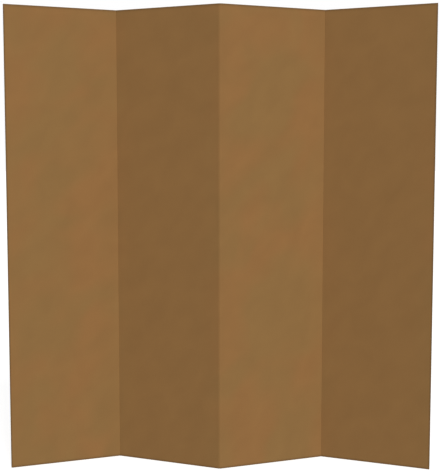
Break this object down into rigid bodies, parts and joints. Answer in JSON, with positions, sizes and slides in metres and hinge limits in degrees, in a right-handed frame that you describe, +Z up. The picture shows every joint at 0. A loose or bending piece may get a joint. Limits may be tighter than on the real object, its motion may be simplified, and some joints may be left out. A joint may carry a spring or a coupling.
{
  "type": "folding floor screen",
  "caption": "Free-standing zigzag floor screen of double-wall kraft board, scored so that its leaves fold flat on each other.",
  "frame": {"origin": "on the floor, under the middle of the screen's outline", "axes": "+Z up, the front looks along -Y, and the leaves run along X from left to right seen from the front"},
  "size_m": [1.6496, 0.1938, 1.8],
  "materials": {
    "face_liner": "matte",
    "middle_liner": "matte",
    "flute_paper": "matte"
  },
  "bodies": {
    "leaf_1": {"leaf_1_front_liner": "face_liner", "leaf_1_fine_flutes": "flute_paper", "leaf_1_middle_liner": "middle_liner", "leaf_1_coarse_flutes": "flute_paper", "leaf_1_back_liner": "face_liner"},
    "leaf_2": {"leaf_2_front_liner": "face_liner", "leaf_2_fine_flutes": "flute_paper", "leaf_2_middle_liner": "middle_liner", "leaf_2_coarse_flutes": "flute_paper", "leaf_2_back_liner": "face_liner", "fold_1_front_liner": "face_liner", "fold_1_fine_flutes": "flute_paper", "fold_1_middle_liner": "middle_liner", "fold_1_coarse_flutes": "flute_paper", "fold_1_back_liner": "face_liner", "fold_2_front_liner": "face_liner", "fold_2_fine_flutes": "flute_paper", "fold_2_middle_liner": "middle_liner", "fold_2_coarse_flutes": "flute_paper", "fold_2_back_liner": "face_liner"},
    "leaf_3": {"leaf_3_front_liner": "face_liner", "leaf_3_fine_flutes": "flute_paper", "leaf_3_middle_liner": "middle_liner", "leaf_3_coarse_flutes": "flute_paper", "leaf_3_back_liner": "face_liner", "fold_3_front_liner": "face_liner", "fold_3_fine_flutes": "flute_paper", "fold_3_middle_liner": "middle_liner", "fold_3_coarse_flutes": "flute_paper", "fold_3_back_liner": "face_liner"},
    "leaf_4": {"leaf_4_front_liner": "face_liner", "leaf_4_fine_flutes": "flute_paper", "leaf_4_middle_liner": "middle_liner", "leaf_4_coarse_flutes": "flute_paper", "leaf_4_back_liner": "face_liner"}
  },
  "joints": [
    {"name": "fold_1", "type": "hinge", "parent": "leaf_2", "child": "leaf_1", "pos_m": [-0.41291, 0.08953, 0], "axis": [0, 0, 1], "range_deg": [-48.8, 131.2], "deforming": ["fold_1_front_liner", "fold_1_fine_flutes", "fold_1_middle_liner", "fold_1_coarse_flutes", "fold_1_back_liner"]},
    {"name": "fold_2", "type": "hinge", "parent": "leaf_2", "child": "leaf_3", "pos_m": [0, -0.08953, 0], "axis": [0, 0, 1], "range_deg": [-48.8, 131.2], "deforming": ["fold_2_front_liner", "fold_2_fine_flutes", "fold_2_middle_liner", "fold_2_coarse_flutes", "fold_2_back_liner"]},
    {"name": "fold_3", "type": "hinge", "parent": "leaf_3", "child": "leaf_4", "pos_m": [0.41291, 0.08953, 0], "axis": [0, 0, -1], "range_deg": [-48.8, 131.2], "deforming": ["fold_3_front_liner", "fold_3_fine_flutes", "fold_3_middle_liner", "fold_3_coarse_flutes", "fold_3_back_liner"]}
  ]
}
